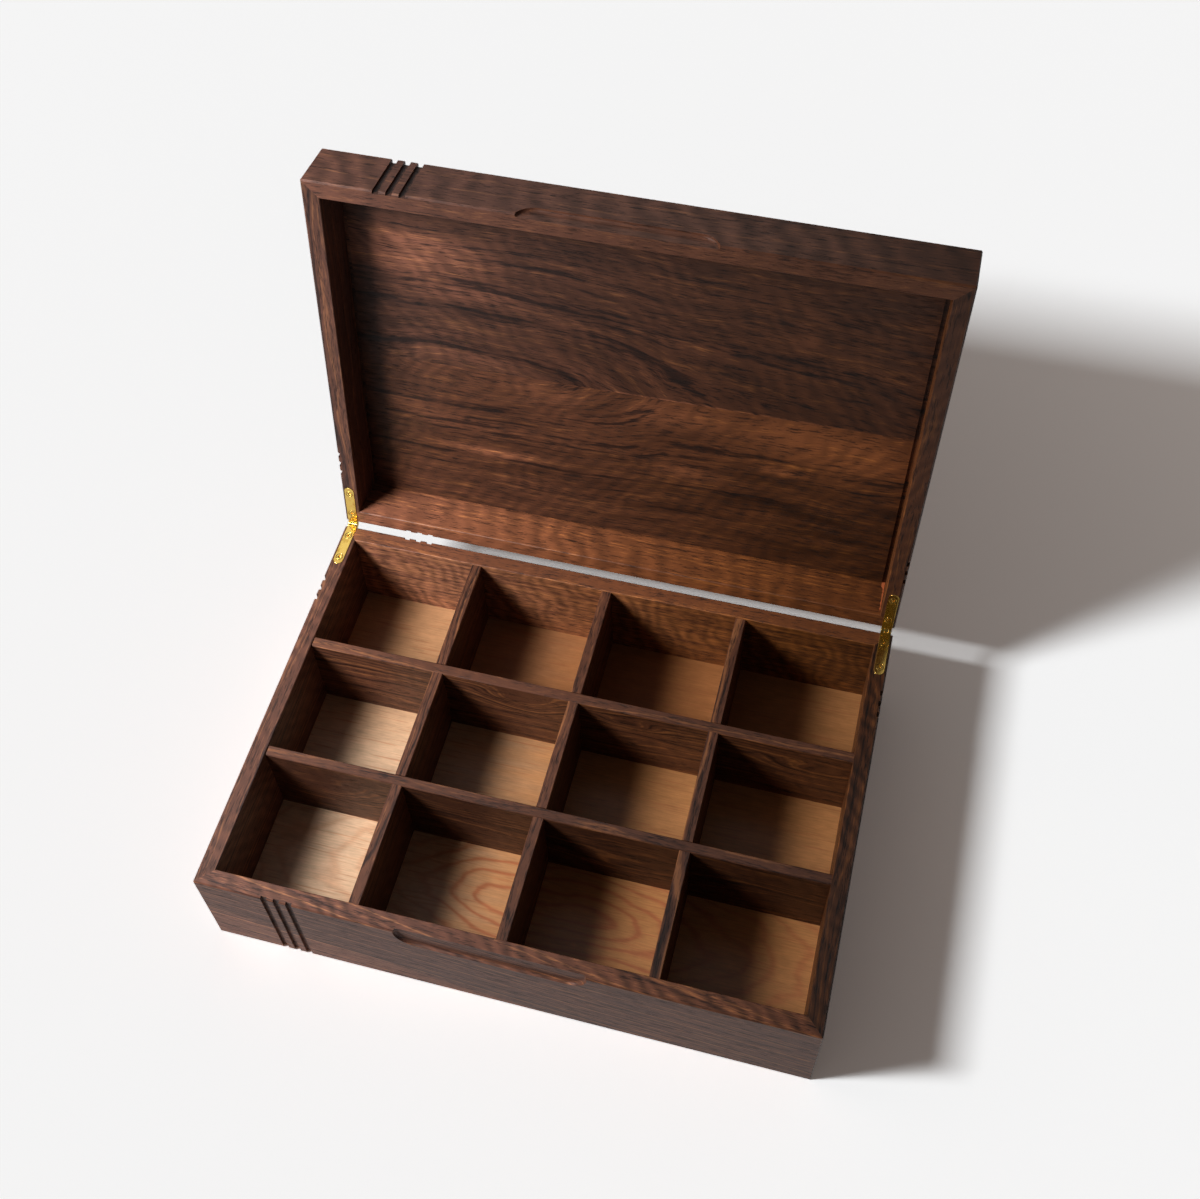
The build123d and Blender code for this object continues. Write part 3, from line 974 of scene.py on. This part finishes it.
class TEACHEST_OT_floor_panel(bpy.types.Operator):
    """Finish the maple floor of the compartments"""

    bl_idname = "teachest.floor_panel"
    bl_label = "Floor panel"

    def execute(self, context):
        put_on("base_floor_panel", maple_board("floor_maple"))
        return {"FINISHED"}


class TEACHEST_OT_hinges(bpy.types.Operator):
    """Finish the hinges, their pins and their screws"""

    bl_idname = "teachest.hinges"
    bl_label = "Hinges"

    def execute(self, context):
        brass = polished_brass("hinge_brass")
        for side in ("left", "right"):
            for piece in ("base_leaf", "lid_leaf", "pin", "base_screws", "lid_screws"):
                put_on(f"hinge_{side}_{piece}", brass)
        return {"FINISHED"}


# The tint of the fill light, how far gloss shows the floor as the camera does, the grey that
# the floor has for the light it throws back, and the width of the camera's frame
FILL_TINT = (1.0, 0.98, 0.96)
GLOSS_SHARE = 0.6
BOUNCE_GREY = (0.80, 0.80, 0.80)
LEAST_FACING = 0.02
FRAME_WIDTH = 36


def seen_directly(bench, in_gloss=False):
    """1 for rays that show the floor or the room itself, and 0 for those that only carry its light."""
    seen = bench.node("ShaderNodeLightPath", "Is Camera Ray")
    return seen.most(GLOSS_SHARE * seen.beside("Is Glossy Ray")) if in_gloss else seen


def pale_floor_material(stage):
    """A floor whose colour evens out the lamp's fall-off where it is seen, and keeps every shadow."""
    material, bench = new_material("pale_floor")
    here = bench.node("ShaderNodeTexCoord", "Object")
    lamp = Vector(stage.floor_key_place)
    facing = (lamp - Vector(stage.card_aim)).normalized()
    toward = bench.minus(tuple(lamp), here)
    reach = bench.node("ShaderNodeVectorMath", "Value", {"operation": "LENGTH"}, {0: toward})
    turned = bench.dot(toward, tuple(facing)).most(LEAST_FACING)
    # Two powers of the reach are the fall-off, and the other two make cosines of lamp.z and turned
    key = stage.floor_key_level * lamp.z * turned / reach**4.0
    pale = [
        stage.pale / (key * lamp_share + stage.fill_level * fill_share)
        for lamp_share, fill_share in zip(stage.floor_key_tint, FILL_TINT)
    ]
    tint = bench.blend(seen_directly(bench, True), BOUNCE_GREY, bench.vector(*pale))
    inputs = {"Base Color": tint, "Roughness": 1.0, "Specular IOR Level": 0.0}
    bench.finish(bench.node("ShaderNodeBsdfPrincipled", 0, None, inputs))
    return material


def area_lamp(name, width, height, watts, middle, aim, roll=0.0):
    """A rectangular lamp that faces a point, turned about its beam by some degrees."""
    data = bpy.data.lights.new(name, "AREA")
    data.shape = "RECTANGLE"
    data.size = width
    data.size_y = height
    data.energy = watts
    lamp = bpy.data.objects.new(name, data)
    lamp.location = middle
    turn = (Vector(aim) - lamp.location).to_track_quat("-Z", "Y")
    lamp.rotation_euler = (turn @ Quaternion((0, 0, 1), math.radians(roll))).to_euler()
    bpy.context.scene.collection.objects.link(lamp)
    return lamp


def light_only(lamp, floor, state):
    """Keeps a lamp to the floor alone, or off the floor alone."""
    receivers = bpy.data.collections.new(f"{lamp.name}_receivers")
    receivers.objects.link(floor)
    lamp.light_linking.receiver_collection = receivers
    receivers.collection_objects[0].light_linking.link_state = state


class TEACHEST_OT_stage(bpy.types.Operator):
    """Set up the floor, the lamps, the fill light and the camera"""

    bl_idname = "teachest.stage"
    bl_label = "Stage"

    def execute(self, context):
        stage = context.scene.stage_settings
        floor = self.lay_floor(stage)
        self.hang_lamps(stage, floor)
        self.fill_light(context, stage)
        self.set_camera(context, stage)
        context.scene.view_settings.view_transform = "Standard"
        return {"FINISHED"}

    def lay_floor(self, stage):
        reach = stage.floor_reach
        corners = [(-reach, -reach, 0), (reach, -reach, 0), (reach, reach, 0), (-reach, reach, 0)]
        mesh = bpy.data.meshes.new("floor")
        mesh.from_pydata(corners, [], [(0, 1, 2, 3)])
        mesh.materials.append(pale_floor_material(stage))
        floor = bpy.data.objects.new("floor", mesh)
        bpy.context.scene.collection.objects.link(floor)
        return floor

    def hang_lamps(self, stage, floor):
        """A soft lamp for the chest, a smaller one for the floor, and a card that the brass mirrors."""
        half_beam = math.radians(stage.key_spread) / 2
        beam_share = 1 - half_beam / math.tan(half_beam)
        watts = stage.key_level * math.pi**2 * beam_share
        key = area_lamp("soft_key", stage.key_width, stage.key_height, watts, stage.key_place, stage.key_aim)
        key.data.spread = 2 * half_beam
        light_only(key, floor, "EXCLUDE")
        floor_key = area_lamp(
            "floor_key",
            stage.floor_key_width,
            stage.floor_key_height,
            stage.floor_key_level * math.pi**2,
            stage.floor_key_place,
            stage.card_aim,
            stage.floor_key_roll,
        )
        floor_key.data.color = stage.floor_key_tint
        light_only(floor_key, floor, "INCLUDE")
        size = stage.card_size
        watts = stage.card_level * math.pi * size**2
        card = area_lamp("pale_card", size, size, watts, stage.card_place, stage.card_aim)
        card.visible_diffuse = False
        card.visible_camera = False

    def fill_light(self, context, stage):
        world = bpy.data.worlds.new("pale_room")
        context.scene.world = world
        world.use_nodes = True
        bench = Bench(world.node_tree)
        fill = tuple(stage.fill_level * share for share in FILL_TINT)
        pale = (stage.pale, stage.pale, stage.pale)
        tint = bench.blend(seen_directly(bench), fill, pale)
        light = bench.node("ShaderNodeBackground", 0, None, {"Color": tint, "Strength": 1.0})
        bench.node("ShaderNodeOutputWorld", None, None, {"Surface": light})

    def set_camera(self, context, stage):
        data = bpy.data.cameras.new("photo_camera")
        data.sensor_width = FRAME_WIDTH
        data.lens = stage.lens
        data.shift_x = stage.shift_x
        data.shift_y = stage.shift_y
        camera = bpy.data.objects.new("photo_camera", data)
        camera.location = stage.camera_place
        turn = (Vector(stage.camera_aim) - camera.location).to_track_quat("-Z", "Y")
        roll = Quaternion((0, 0, 1), math.radians(stage.camera_roll))
        camera.rotation_mode = "QUATERNION"
        camera.rotation_quaternion = turn @ roll
        context.scene.collection.objects.link(camera)
        context.scene.camera = camera


class TEACHEST_PT_finish(bpy.types.Panel):
    """Lists the steps of the tea chest's finish"""

    bl_idname = "TEACHEST_PT_finish"
    bl_label = "Tea chest"
    bl_space_type = "VIEW_3D"
    bl_region_type = "UI"
    bl_category = "Tea chest"

    def draw(self, context):
        for step in STEPS:
            self.layout.operator(step.bl_idname)


SETTINGS = {
    "walnut_settings": WalnutSettings,
    "maple_settings": MapleSettings,
    "brass_settings": BrassSettings,
    "stage_settings": StageSettings,
}
STEPS = (
    TEACHEST_OT_base_boards,
    TEACHEST_OT_lid_boards,
    TEACHEST_OT_lid_panel,
    TEACHEST_OT_dividers,
    TEACHEST_OT_floor_panel,
    TEACHEST_OT_hinges,
    TEACHEST_OT_stage,
)


def register():
    for name, group in SETTINGS.items():
        bpy.utils.register_class(group)
        setattr(bpy.types.Scene, name, PointerProperty(type=group))
    for step in STEPS:
        bpy.utils.register_class(step)
    bpy.utils.register_class(TEACHEST_PT_finish)


def unregister():
    bpy.utils.unregister_class(TEACHEST_PT_finish)
    for step in reversed(STEPS):
        bpy.utils.unregister_class(step)
    for name, group in SETTINGS.items():
        delattr(bpy.types.Scene, name)
        bpy.utils.unregister_class(group)


def main():
    register()
    bpy.ops.teachest.base_boards()
    bpy.ops.teachest.lid_boards()
    bpy.ops.teachest.lid_panel()
    bpy.ops.teachest.dividers()
    bpy.ops.teachest.floor_panel()
    bpy.ops.teachest.hinges()
    bpy.ops.teachest.stage()


if __name__ == "__main__":
    main()
